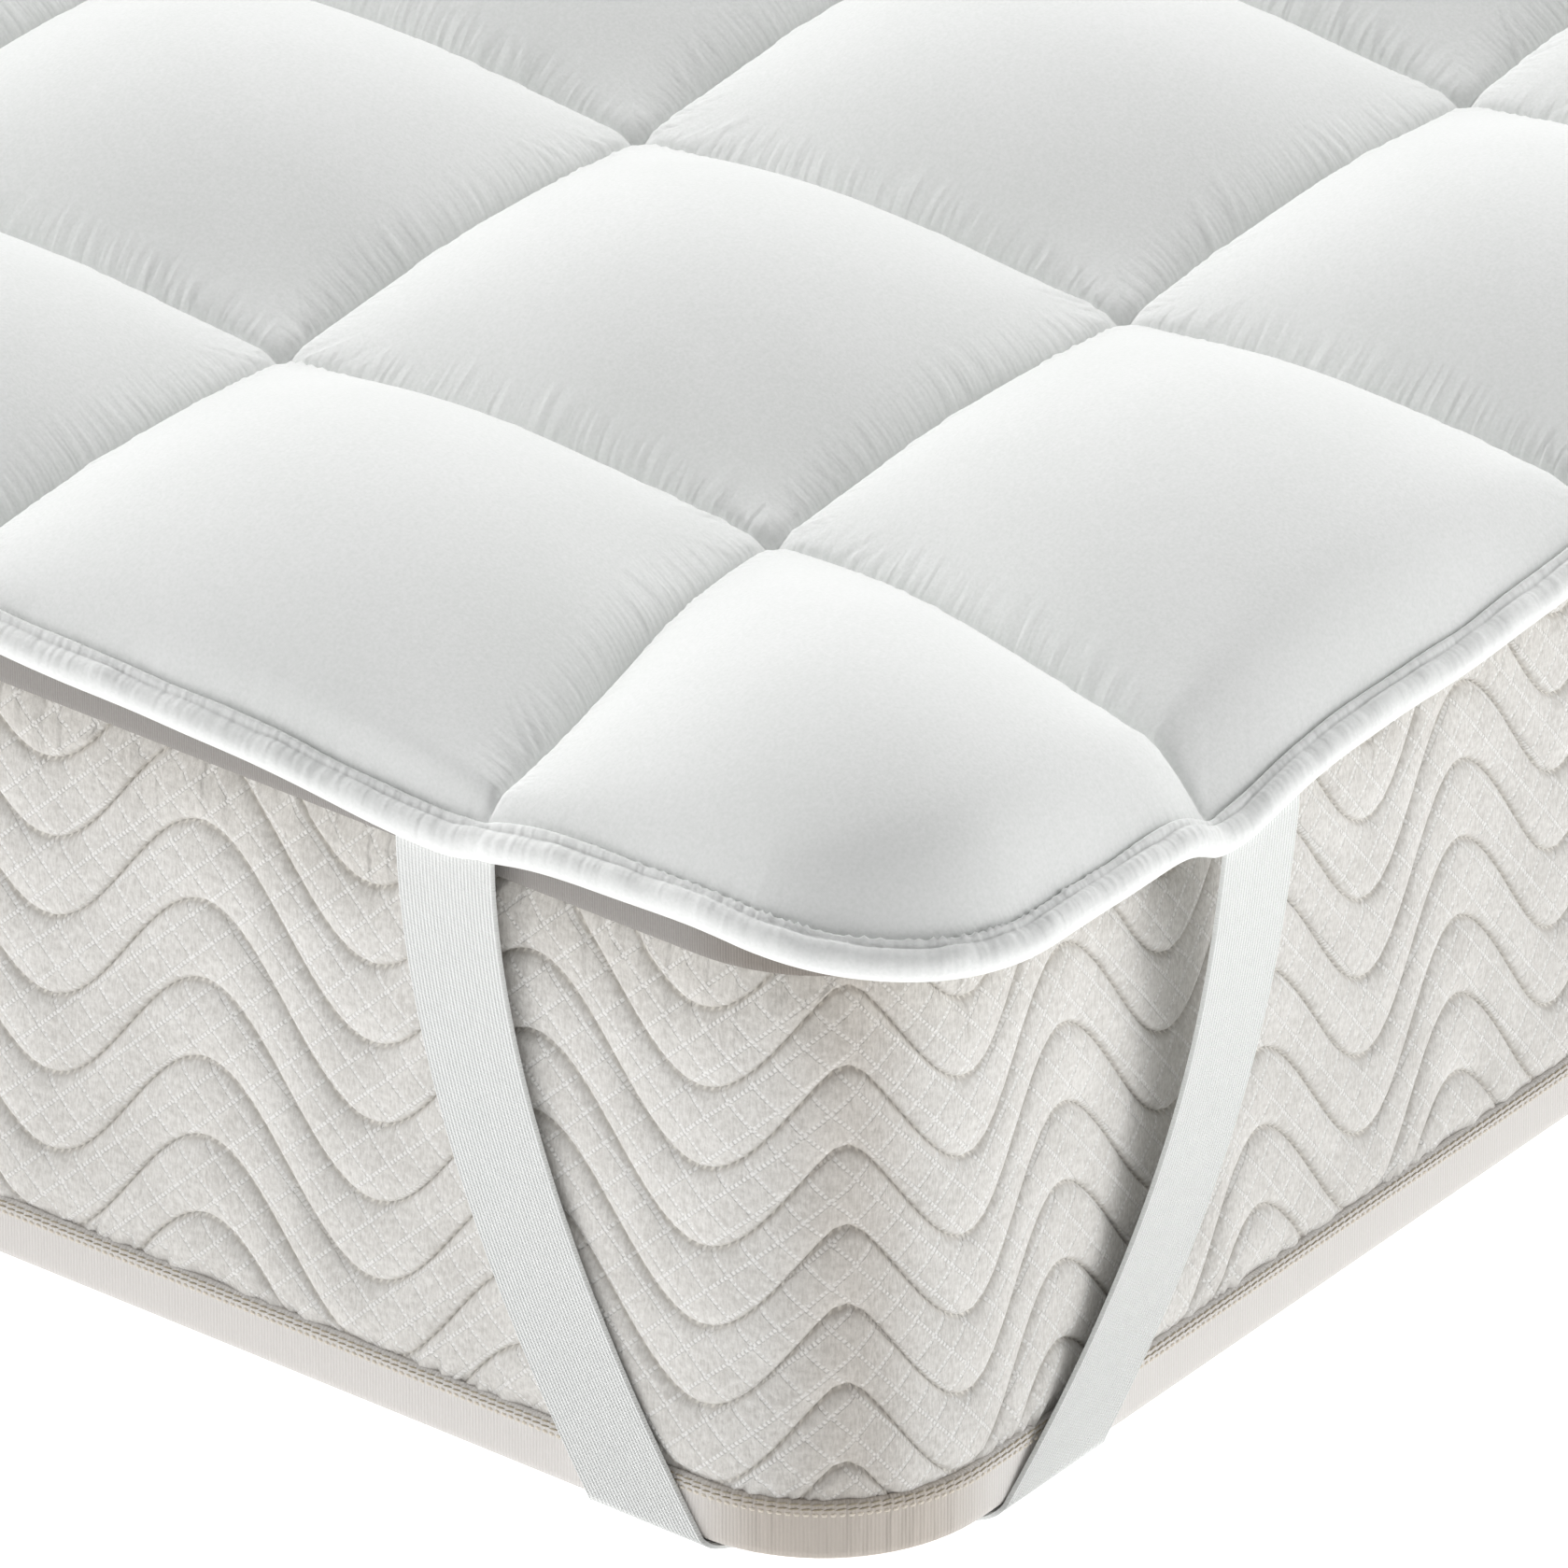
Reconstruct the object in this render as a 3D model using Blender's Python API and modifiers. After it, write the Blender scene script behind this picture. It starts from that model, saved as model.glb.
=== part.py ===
"""A box-quilted mattress topper on a single mattress, held by an elastic strap round each corner.

Metres, +Z up. The mattress stands on z = 0 with its length along Y, and the origin is under its middle.
Widths and lengths named FROM_CORNER run along a side of the mattress from its corner.
"""

import math
from collections import namedtuple

import bmesh
import bpy
from mathutils import Vector

# Mattress
MATTRESS_WIDTH = 0.900
MATTRESS_LENGTH = 1.900
MATTRESS_HEIGHT = 0.230
CORNER_RADIUS = 0.060
EDGE_ROUNDING = 0.006
CORNER_STEPS = 8
EDGE_STEPS = 2

# Tapes that bind the mattress's edges: lowest and highest point, and how far they stand off the border
TAPE_BOTTOM = (0.0025, 0.020)
TAPE_TOP = (0.211, 0.2232)
TAPE_THICKNESS = 0.0028
TAPE_CHAMFER = 0.0010

# Topper pad: a grid of quilted boxes, a little larger than the mattress
COLUMNS, ROWS = 5, 10
BOX_WIDTH, BOX_LENGTH = 0.182, 0.195
STEPS_IN_BOX = 8
STEP_EASING = 0.62
SEAM_THICKNESS = 0.007
CROWN = 0.041
CROWN_FULLNESS = 0.62
CROWN_UNEVEN = 0.05
PAD_RADIUS = 0.065
SEAM_PULL = 0.030
RIM_SCALLOP = 0.004
SCALLOP_REACH = 0.040

# How the overhanging edge hangs
END_DROOP = 0.011
END_SHRINK = 0.003
SIDE_DROOP = 0.0025
DROOP_START = 0.002
DROOP_CURVE = 1.5
UNDER_LOOPS = (0.0, 0.006, 0.012, 0.020, 0.030)

# Padded roll round the pad's edge
BINDING_HEIGHT = 0.0125
BINDING_DEPTH = 0.009

# Elastic corner straps, each with a leg down the side and one down the end of the mattress
# top, foot: distance of the leg's centre from the corner; curve: how late it starts to slant
# dip, dip_at: how far and where the leg pulls the pad's edge down; dip_near, dip_far: how far the dip
# spreads towards the corner and away from it
Leg = namedtuple("Leg", "top foot curve dip dip_at dip_near dip_far")
SIDE_LEG = Leg(top=0.162, foot=0.078, curve=1.5, dip=0.0075, dip_at=0.155, dip_near=0.027, dip_far=0.062)
END_LEG = Leg(top=0.169, foot=0.095, curve=2.5, dip=0.0090, dip_at=0.150, dip_near=0.014, dip_far=0.034)
STRAP_WIDTH = 0.038
STRAP_THICKNESS = 0.0015
STRAP_FOOT_OUT = 0.0043
STRAP_BEND = 0.0025
LEG_STEPS = 12
BEND_STEPS = 4
RIM_SAMPLES = 200
RECESS_WIDTH = 0.046
RECESS_LENGTH = 0.190
RECESS_DEPTH = 0.0026

GAP = 0.0003
UNDER_CLOTH = MATTRESS_HEIGHT + GAP
HALF_MATTRESS = Vector((MATTRESS_WIDTH / 2, MATTRESS_LENGTH / 2))
HALF_PAD = Vector((COLUMNS * BOX_WIDTH / 2, ROWS * BOX_LENGTH / 2))
OVERHANG = HALF_PAD - HALF_MATTRESS
CORNERS = {"front_left": (-1, -1), "front_right": (1, -1), "back_left": (-1, 1), "back_right": (1, 1)}


def clear_scene():
    for obj in list(bpy.data.objects):
        bpy.data.objects.remove(obj, do_unlink=True)


def new_collection(name):
    collection = bpy.data.collections.new(name)
    bpy.context.scene.collection.children.link(collection)
    return collection


def new_material(name, colour, roughness):
    made = bpy.data.materials.new(name)
    made.use_nodes = True
    surface = made.node_tree.nodes["Principled BSDF"]
    surface.inputs["Base Color"].default_value = (*colour, 1.0)
    surface.inputs["Roughness"].default_value = roughness
    surface.inputs["Metallic"].default_value = 0.0
    return made


def object_from(shape, name, collection):
    """Turns a bmesh into an object of the collection, its faces pointing outwards."""
    bmesh.ops.recalc_face_normals(shape, faces=shape.faces)
    mesh = bpy.data.meshes.new(name)
    shape.to_mesh(mesh)
    shape.free()
    made = bpy.data.objects.new(name, mesh)
    collection.objects.link(made)
    return made


def shade(obj, finish, sharp_degrees):
    obj.data.materials.append(finish)
    obj.data.shade_smooth()
    obj.data.set_sharp_from_angle(angle=math.radians(sharp_degrees))


def smooth(t):
    t = min(max(t, 0.0), 1.0)
    return t * t * (3 - 2 * t)


def strap_dip(from_corner, leg):
    """How far a leg of a strap pulls the pad's edge down at this distance from the corner."""
    distance = from_corner - leg.dip_at
    spread = leg.dip_far if distance > 0 else leg.dip_near
    return leg.dip * math.exp(-((distance / spread) ** 2))


# ---- outlines --------------------------------------------------------------------------------


def past_arc_centre(x, y, half, radius):
    """How far a point lies past the centre of its nearest corner arc, along X and along Y."""
    return Vector((abs(x) - (half.x - radius), abs(y) - (half.y - radius)))


def outward(x, y, half, radius):
    """Unit vector out of a rounded rectangle at a point near its edge."""
    past = past_arc_centre(x, y, half, radius)
    out = Vector((max(past.x, 0.0), max(past.y, 0.0)))
    if out.length == 0:
        out = Vector((1, 0)) if past.x > past.y else Vector((0, 1))
    out.normalize()
    return Vector((math.copysign(out.x, x), math.copysign(out.y, y)))


def rounded_rectangle(half, radius, steps):
    """Points round a rectangle with arcs for corners, anticlockwise."""
    points = []
    for quarter, (sign_x, sign_y) in enumerate(((1, 1), (-1, 1), (-1, -1), (1, -1))):
        for step in range(steps + 1):
            angle = math.pi / 2 * (quarter + step / steps)
            points.append(Vector((
                sign_x * (half.x - radius) + radius * math.cos(angle),
                sign_y * (half.y - radius) + radius * math.sin(angle),
            )))
    return points


# ---- the pad's surface -----------------------------------------------------------------------


def grid_line(step, count):
    """Place of a grid line across `count` boxes, in box sides from one rim, closer beside the seams."""
    box, part = divmod(step / STEPS_IN_BOX, 1.0)
    return min(box + part - STEP_EASING * math.sin(2 * math.pi * part) / (2 * math.pi), count)


def puff(across, along):
    """Height of the filling over the seams, from 0 at a seam to 1 in the middle of a box."""
    u = math.sin(math.pi * (across % 1.0))
    v = math.sin(math.pi * (along % 1.0))
    uneven = 1 + CROWN_UNEVEN * math.sin(12.9 * math.floor(across) + 78.2 * math.floor(along))
    return uneven * max(u * v, 0.0) ** CROWN_FULLNESS


def drawn_in(boxes_from_rim):
    """How much a seam's end draws the rim in: 1 at a seam, 0 between, and 0 where the straps hold it out."""
    if boxes_from_rim < 1.5:
        return 0.0
    return 1 - math.sin(math.pi * (boxes_from_rim % 1.0))


def pull(near_seam, towards_rim):
    """Shift of a corner box's seam towards the corner, growing to its end at the rim."""
    return SEAM_PULL * smooth(towards_rim) * max(0.0, 1 - abs(near_seam))


def plan(x, y):
    """Where a point of the flat, square-cut grid lies once it is quilted and its corners are rounded."""
    from_rim = Vector(((HALF_PAD.x - abs(x)) / BOX_WIDTH, (HALF_PAD.y - abs(y)) / BOX_LENGTH))
    in_x = RIM_SCALLOP * drawn_in(from_rim.y) * smooth(1 - from_rim.x * BOX_WIDTH / SCALLOP_REACH)
    in_y = RIM_SCALLOP * drawn_in(from_rim.x) * smooth(1 - from_rim.y * BOX_LENGTH / SCALLOP_REACH)
    far_x = abs(x) + pull(from_rim.x - 1, 1 - from_rim.y) - in_x
    far_y = abs(y) + pull(from_rim.y - 1, 1 - from_rim.x) - in_y
    past = past_arc_centre(far_x, far_y, HALF_PAD, PAD_RADIUS) / PAD_RADIUS
    if past.x > 0 and past.y > 0:
        far_x += PAD_RADIUS * past.x * (math.sqrt(1 - min(past.y, 1.0) ** 2 / 2) - 1)
        far_y += PAD_RADIUS * past.y * (math.sqrt(1 - min(past.x, 1.0) ** 2 / 2) - 1)
    return math.copysign(far_x, x), math.copysign(far_y, y)


def hang(x, y):
    """How far a point past the mattress's edge hangs down, and how far it draws back along Y."""
    past = past_arc_centre(x, y, HALF_MATTRESS, CORNER_RADIUS)
    out = Vector((max(past.x, 0.0), max(past.y, 0.0)))
    overhang = out.length - CORNER_RADIUS
    if overhang < -DROOP_START:
        return 0.0, 0.0
    endness = (out.y / out.length) ** 2
    widest = OVERHANG.x * (1 - endness) + OVERHANG.y * endness
    share = min((overhang + DROOP_START) / (widest + DROOP_START), 1.0) ** DROOP_CURVE
    from_corner = HALF_MATTRESS - Vector((abs(x), abs(y)))
    side = SIDE_DROOP * smooth(from_corner.y / SIDE_LEG.top) + strap_dip(from_corner.y, SIDE_LEG)
    end = END_DROOP + strap_dip(from_corner.x, END_LEG)
    return share * (side * (1 - endness) + end * endness), share * END_SHRINK * endness


def settled(x, y, height):
    """The point at this height over the under cloth, once the pad lies on the mattress."""
    drop, shrink = hang(x, y)
    return Vector((x, y - math.copysign(shrink, y), UNDER_CLOTH + height - drop))


def rim_point(grid_x, grid_y):
    """Middle of the pad's edge, and the direction out of it."""
    x, y = plan(grid_x, grid_y)
    return settled(x, y, SEAM_THICKNESS / 2), outward(x, y, HALF_PAD, PAD_RADIUS)


def pad_shape():
    """Flat grid with loops extruded from its rim, one level down each, then every level put in place."""
    shape = bmesh.new()
    columns, rows = COLUMNS * STEPS_IN_BOX, ROWS * STEPS_IN_BOX
    bmesh.ops.create_grid(shape, x_segments=columns, y_segments=rows, size=0.5)
    for vertex in shape.verts:
        across = grid_line(round((vertex.co.x + 0.5) * columns), COLUMNS)
        along = grid_line(round((vertex.co.y + 0.5) * rows), ROWS)
        vertex.co = (across * BOX_WIDTH - HALF_PAD.x, along * BOX_LENGTH - HALF_PAD.y, 0)
    edges = [edge for edge in shape.edges if edge.is_boundary]
    for level in range(1, len(UNDER_LOOPS) + 1):
        made = bmesh.ops.extrude_edge_only(shape, edges=edges)["geom"]
        for vertex in (part for part in made if isinstance(part, bmesh.types.BMVert)):
            vertex.co.z = -level
        edges = [part for part in made if isinstance(part, bmesh.types.BMEdge) and part.is_boundary]
    bmesh.ops.contextual_create(shape, geom=edges)
    for vertex in shape.verts:
        grid_x, grid_y, level = vertex.co
        x, y = plan(grid_x, grid_y)
        if level == 0:
            across = (grid_x + HALF_PAD.x) / BOX_WIDTH
            along = (grid_y + HALF_PAD.y) / BOX_LENGTH
            vertex.co = settled(x, y, SEAM_THICKNESS + CROWN * puff(across, along))
        else:
            inward = UNDER_LOOPS[round(-level) - 1]
            out = outward(x, y, HALF_PAD, PAD_RADIUS)
            vertex.co = settled(x - inward * out.x, y - inward * out.y, 0)
    return shape


def make_pad(parts, cloth):
    pad = object_from(pad_shape(), "topper_pad", parts)
    shade(pad, cloth, 60)


# ---- rolls and tapes that run round an edge ----------------------------------------------------


def edge_roll(name, path, outline, parts, guides, finish):
    """A closed roll: a clockwise outline, its X out of the edge and its Y up, along a closed path."""
    section_data = bpy.data.curves.new(name + "_section", "CURVE")
    section_line = section_data.splines.new("POLY")
    section_line.points.add(len(outline) - 1)
    for point, (out, up) in zip(section_line.points, outline):
        point.co = (out, up, 0, 1)
    section_line.use_cyclic_u = True
    section = bpy.data.objects.new(name + "_section", section_data)
    section.hide_render = True
    section.display_type = "WIRE"
    guides.objects.link(section)

    roll_data = bpy.data.curves.new(name, "CURVE")
    roll_data.dimensions = "3D"
    roll_data.twist_mode = "Z_UP"
    roll_data.bevel_mode = "OBJECT"
    roll_data.bevel_object = section
    roll_data.materials.append(finish)
    line = roll_data.splines.new("POLY")
    line.points.add(len(path) - 1)
    for point, place in zip(line.points, path):
        point.co = (*place, 1)
    line.use_cyclic_u = True
    parts.objects.link(bpy.data.objects.new(name, roll_data))


def grid_rim():
    """Grid points round the pad's rim, anticlockwise from the front left corner."""
    xs = [grid_line(step, COLUMNS) * BOX_WIDTH - HALF_PAD.x for step in range(COLUMNS * STEPS_IN_BOX + 1)]
    ys = [grid_line(step, ROWS) * BOX_LENGTH - HALF_PAD.y for step in range(ROWS * STEPS_IN_BOX + 1)]
    front = [(x, ys[0]) for x in xs[:-1]]
    right = [(xs[-1], y) for y in ys[:-1]]
    back = [(x, ys[-1]) for x in xs[:0:-1]]
    left = [(xs[0], y) for y in ys[:0:-1]]
    return front + right + back + left


def make_binding(parts, guides, cloth):
    """A roll with a flat back against the pad's edge and a round front."""
    flat = SEAM_THICKNESS / 2
    half = BINDING_HEIGHT / 2
    outline = [
        (0, flat),
        (BINDING_DEPTH * 0.30, half),
        (BINDING_DEPTH * 0.72, half * 0.86),
        (BINDING_DEPTH, 0),
        (BINDING_DEPTH * 0.72, -half * 0.86),
        (BINDING_DEPTH * 0.30, -half),
        (0, -flat),
    ]
    path = []
    for grid_x, grid_y in grid_rim():
        middle, out = rim_point(grid_x, grid_y)
        path.append(middle + GAP * out.to_3d())
    edge_roll("topper_binding", path, outline, parts, guides, cloth)


def make_tape(name, heights, parts, guides, finish):
    low, high = heights
    outline = [
        (0, high),
        (TAPE_THICKNESS - TAPE_CHAMFER, high),
        (TAPE_THICKNESS, high - TAPE_CHAMFER),
        (TAPE_THICKNESS, low + TAPE_CHAMFER),
        (TAPE_THICKNESS - TAPE_CHAMFER, low),
        (0, low),
    ]
    half = HALF_MATTRESS + Vector((GAP, GAP))
    path = [point.to_3d() for point in rounded_rectangle(half, CORNER_RADIUS + GAP, CORNER_STEPS)]
    edge_roll(name, path, outline, parts, guides, finish)


# ---- straps ------------------------------------------------------------------------------------


def strap_top(leg, on_end):
    """Overhang and height at which a strap's leg meets the underside of the edge roll."""
    places = []
    for step in range(RIM_SAMPLES + 1):
        back = step / RIM_SAMPLES * 2 * BOX_LENGTH
        grid = (HALF_PAD.x - back, HALF_PAD.y) if on_end else (HALF_PAD.x, HALF_PAD.y - back)
        middle = rim_point(*grid)[0]
        inset = HALF_MATTRESS - middle.xy
        from_corner, overhang = (inset.x, -inset.y) if on_end else (inset.y, -inset.x)
        if abs(from_corner - leg.top) < STRAP_WIDTH / 2:
            places.append((middle.z, overhang))
    height, overhang = min(places)
    return overhang + BINDING_DEPTH / 2, height - BINDING_HEIGHT / 2 - GAP


def strap_leg(leg, under_slant, on_end):
    """Stations down one side of the corner and round its bottom edge.

    Each is a centre, in (out of the side, from the corner, up), and the strap's half width measured
    level, along the side, which grows with the strap's slant.
    """

    def level_half_width(slant):
        return STRAP_WIDTH / 2 * math.sqrt(1 + slant * slant)

    top_out, top_height = strap_top(leg, on_end)
    stations = []
    bend_height = STRAP_BEND + STRAP_THICKNESS / 2 + GAP
    rise = top_height - bend_height
    run = leg.top - leg.foot
    for step in range(LEG_STEPS + 1):
        up = 1 - step / LEG_STEPS
        centre = Vector((
            STRAP_FOOT_OUT + (top_out - STRAP_FOOT_OUT) * up,
            leg.foot + run * (1 - (1 - up) ** leg.curve),
            bend_height + rise * up,
        ))
        slant = run / rise * leg.curve * (1 - up) ** (leg.curve - 1)
        stations.append((centre, level_half_width(slant)))
    foot_slant = run / rise * leg.curve
    for step in range(1, BEND_STEPS + 1):
        turn = math.pi / 2 * step / BEND_STEPS
        slant = foot_slant + (under_slant - foot_slant) * step / BEND_STEPS
        centre = Vector((
            STRAP_FOOT_OUT - STRAP_BEND * (1 - math.cos(turn)),
            leg.foot - foot_slant * STRAP_BEND * turn,
            bend_height - STRAP_BEND * math.sin(turn),
        ))
        stations.append((centre, level_half_width(slant)))
    return stations


def make_strap(name, signs, parts, elastic):
    """One strap: down the long side, under the corner and up the end."""
    sign_x, sign_y = signs
    side_stations = strap_leg(SIDE_LEG, SIDE_LEG.foot / END_LEG.foot, on_end=False)
    end_stations = strap_leg(END_LEG, END_LEG.foot / SIDE_LEG.foot, on_end=True)
    near = []
    far = []
    for centre, half_width in side_stations:
        near.append(Vector((-centre.x, centre.y - half_width, centre.z)))
        far.append(Vector((-centre.x, centre.y + half_width, centre.z)))
    for centre, half_width in reversed(end_stations):
        near.append(Vector((centre.y - half_width, -centre.x, centre.z)))
        far.append(Vector((centre.y + half_width, -centre.x, centre.z)))
    shape = bmesh.new()
    count = len(near) - 1
    bmesh.ops.create_grid(shape, x_segments=count, y_segments=1, size=0.5)
    for vertex in shape.verts:
        edge = far if vertex.co.y > 0 else near
        inset = edge[round((vertex.co.x + 0.5) * count)]
        vertex.co = (
            sign_x * (HALF_MATTRESS.x - inset.x),
            sign_y * (HALF_MATTRESS.y - inset.y),
            inset.z,
        )
    strap = object_from(shape, name, parts)
    shade(strap, elastic, 60)
    thickness = strap.modifiers.new("Thickness", "SOLIDIFY")
    thickness.thickness = STRAP_THICKNESS
    thickness.offset = 0


# ---- mattress ----------------------------------------------------------------------------------


def make_mattress(parts, cutters, ticking):
    shape = bmesh.new()
    bmesh.ops.create_cube(shape, size=1)
    bmesh.ops.scale(shape, vec=(MATTRESS_WIDTH, MATTRESS_LENGTH, MATTRESS_HEIGHT), verts=shape.verts)
    bmesh.ops.translate(shape, vec=(0, 0, MATTRESS_HEIGHT / 2), verts=shape.verts)
    upright = [edge for edge in shape.edges if abs(edge.verts[0].co.z - edge.verts[1].co.z) > EDGE_ROUNDING]
    bmesh.ops.bevel(shape, geom=upright, offset=CORNER_RADIUS, segments=CORNER_STEPS, profile=0.5,
                    affect="EDGES")
    around = [edge for edge in shape.edges if abs(edge.verts[0].co.z - edge.verts[1].co.z) < EDGE_ROUNDING]
    bmesh.ops.bevel(shape, geom=around, offset=EDGE_ROUNDING, segments=EDGE_STEPS, profile=0.5,
                    affect="EDGES")
    mattress = object_from(shape, "mattress_body", parts)
    shade(mattress, ticking, 40)
    for name, (sign_x, sign_y) in CORNERS.items():
        cutter = make_recess_cutter(name, sign_x, sign_y, cutters)
        recess = mattress.modifiers.new("Recess " + name, "BOOLEAN")
        recess.operation = "DIFFERENCE"
        recess.object = cutter


def make_recess_cutter(name, sign_x, sign_y, cutters):
    """A shallow slanting channel under a corner, so that the strap there lies above the floor."""
    shape = bmesh.new()
    bmesh.ops.create_cube(shape, size=1)
    bmesh.ops.scale(shape, vec=(RECESS_LENGTH, RECESS_WIDTH, 2 * RECESS_DEPTH), verts=shape.verts)
    cutter = object_from(shape, "recess_" + name, cutters)
    middle = HALF_MATTRESS - Vector((END_LEG.foot, SIDE_LEG.foot)) / 2
    cutter.location = (sign_x * middle.x, sign_y * middle.y, 0)
    cutter.rotation_euler.z = -math.atan2(SIDE_LEG.foot, END_LEG.foot) * sign_x * sign_y
    cutter.hide_render = True
    cutter.display_type = "WIRE"
    return cutter


def main():
    clear_scene()
    parts = new_collection("mattress_topper")
    guides = new_collection("guides")
    white_cloth = new_material("white_microfibre", (0.86, 0.87, 0.87), 0.75)
    white_elastic = new_material("white_elastic", (0.80, 0.81, 0.82), 0.80)
    ticking = new_material("cream_ticking", (0.68, 0.65, 0.60), 0.90)
    twill = new_material("grey_twill_tape", (0.58, 0.54, 0.50), 0.85)

    make_mattress(parts, guides, ticking)
    make_tape("mattress_tape_bottom", TAPE_BOTTOM, parts, guides, twill)
    make_tape("mattress_tape_top", TAPE_TOP, parts, guides, twill)
    make_pad(parts, white_cloth)
    make_binding(parts, guides, white_cloth)
    for name, signs in CORNERS.items():
        make_strap("corner_strap_" + name, signs, parts, white_elastic)


main()
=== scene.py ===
"""The looks of a box-quilted mattress topper on a single mattress: cloth, elastic, ticking and twill.

Metres, +Z up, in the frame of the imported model. The mattress stands on z = 0 with its length along Y.
A distance named from_corner runs along a side of the mattress from its corner.
"""

import math
from collections import namedtuple

import bmesh
import bpy
import numpy as np
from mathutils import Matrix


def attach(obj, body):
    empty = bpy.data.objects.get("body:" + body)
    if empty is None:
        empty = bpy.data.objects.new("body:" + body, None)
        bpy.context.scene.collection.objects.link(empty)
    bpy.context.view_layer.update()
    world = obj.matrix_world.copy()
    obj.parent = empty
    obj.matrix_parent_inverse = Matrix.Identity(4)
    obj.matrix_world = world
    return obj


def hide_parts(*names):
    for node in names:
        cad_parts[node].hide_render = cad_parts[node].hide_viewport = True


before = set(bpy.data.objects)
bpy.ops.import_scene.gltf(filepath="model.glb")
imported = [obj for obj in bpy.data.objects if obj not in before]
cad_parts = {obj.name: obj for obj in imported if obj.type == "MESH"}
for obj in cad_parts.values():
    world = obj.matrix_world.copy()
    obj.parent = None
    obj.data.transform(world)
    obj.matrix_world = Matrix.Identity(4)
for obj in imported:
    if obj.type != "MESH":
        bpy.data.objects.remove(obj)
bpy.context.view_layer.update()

chance = np.random.default_rng(7)
MM = 0.001

# ---- sizes that the solids also have ----

HALF_MATTRESS = np.array([0.450, 0.950])
MATTRESS_HEIGHT = 0.230
CORNER_RADIUS = 0.060
TAPE_TOP = (0.211, 0.2232)
TAPE_THICKNESS = 0.0028

COLUMNS, ROWS = 5, 10
BOX = np.array([0.182, 0.195])
HALF_PAD = np.array([COLUMNS, ROWS]) * BOX / 2
OVERHANG = HALF_PAD - HALF_MATTRESS
SEAM_THICKNESS = 0.007
CROWN = 0.041
CROWN_FULLNESS = 0.62
CROWN_UNEVEN = 0.05
PAD_RADIUS = 0.065
SEAM_PULL = 0.030
RIM_SCALLOP = 0.004
SCALLOP_REACH = 0.040

END_DROOP = 0.011
END_SHRINK = 0.003
SIDE_DROOP = 0.0025
DROOP_START = 0.002
DROOP_CURVE = 1.5
UNDER_LOOPS = (0.0, 0.006, 0.012, 0.020, 0.030)

BINDING_HEIGHT = 0.0125
BINDING_DEPTH = 0.009

# top, foot: distance of a strap leg's centre from the corner; curve: how late it starts to slant
# dip, dip_at: how far and where the leg pulls the pad's edge down; dip_near, dip_far: how far the dip
# spreads towards the corner and away from it. The side leg bends a little more than its solid does.
Leg = namedtuple("Leg", "top foot curve dip dip_at dip_near dip_far")
SIDE_LEG = Leg(0.153, 0.080, 1.85, dip=0.0075, dip_at=0.155, dip_near=0.027, dip_far=0.062)
END_LEG = Leg(0.169, 0.095, 2.5, dip=0.0090, dip_at=0.150, dip_near=0.014, dip_far=0.034)
STRAP_WIDTH = 0.038
STRAP_THICKNESS = 0.0015
STRAP_FOOT_OUT = 0.0043
STRAP_BEND = 0.0025

GAP = 0.0003
UNDER_CLOTH = MATTRESS_HEIGHT + GAP
CORNERS = {"front_left": (-1, -1), "front_right": (1, -1), "back_left": (-1, 1), "back_right": (1, 1)}

# ---- sizes of what only shows here ----

# One quilted box is rings of points in from its seams, each half as fine as the last where it says so
FINE_STEPS = 88
FINE_RINGS = (0.0, 0.0006, 0.0016, 0.0032, 0.0052, 0.0076, 0.0104, 0.0136)
MIDDLE_RINGS = (0.0172, 0.0210)
GRID_INSET = 0.0255

# Puckers that the stitching gathers up beside each seam, one to every two or three columns of the mesh
PUCKER_HEIGHT = 0.0014
PUCKER_LENGTH = (0.010, 0.0255)
PUCKER_LEAN = 0.30
PUCKER_RISE = 0.0022
BUNCHES_PER_SEAM = 2.3
# Beside the edge roll the puckers are lower, and the finer streaks start as if they were farther away
RIM_PUCKER = 0.25
RIM_SMOOTH = 0.011

# Depth and reach of the sunk stitches along a seam, and of the dimples where seams cross
SEAM_SINK = (0.0016, 0.0012)
DIMPLE = (0.0032, 0.0046)

# Where the end of a seam tucks the edge roll in, and how far apart its lumps, waves, bulges and rises are
TUCK_WIDTH = 0.0045
LUMPS, RIDGE_WAVES, BULGES, RISES = 0.0085, 0.021, 0.026, 0.033

# Quilted border of the mattress: lines of stitches in waves, mitred at the corners
WAVE_SPACING = 0.0284
WAVE_HALF_HEIGHT = 0.0280
WAVE_LINE = 0.1323
# length: one wave; beyond: how far past the mitre the next crest would be; count: waves in a whole side;
# settled: length at each end that keeps this wave length; lean: how much a crest leans to its corner
Wave = namedtuple("Wave", "length beyond count settled lean")
SIDE_WAVE = Wave(length=0.12975, beyond=0.0182, count=15, settled=0.350, lean=0.0)
END_WAVE = Wave(length=0.1028, beyond=0.0156, count=9, settled=0.300, lean=0.128)
MITRE_LIFT, MITRE_REACH, MITRE_ROUND = 0.0055, 0.055, 0.004
BORDER_COLUMNS = (396, 184)
BOTTOM_TAPE = (0.0025, 0.0230)
# Section of one channel: height over its stitch line in mm, and how far it stands off the side
CHANNEL_ROWS = ((0, 0.0), (0.9, 0.0013), (2.3, 0.0023), (5.2, 0.0030), (14.2, 0.0034),
                (23.2, 0.0030), (26.1, 0.0023), (27.5, 0.0013))
# The ticking is drawn tighter along the ends, so its damask is narrower there
END_STRETCH = 0.80

# Straps: ribs across one, and steps of mesh down a leg and round its bend under the mattress
RIBS = 28
LEG_STEPS = 56
BEND_STEPS = 6


def smooth(t):
    t = np.clip(t, 0.0, 1.0)
    return t * t * (3 - 2 * t)


# ---- how the pad lies ----


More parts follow.
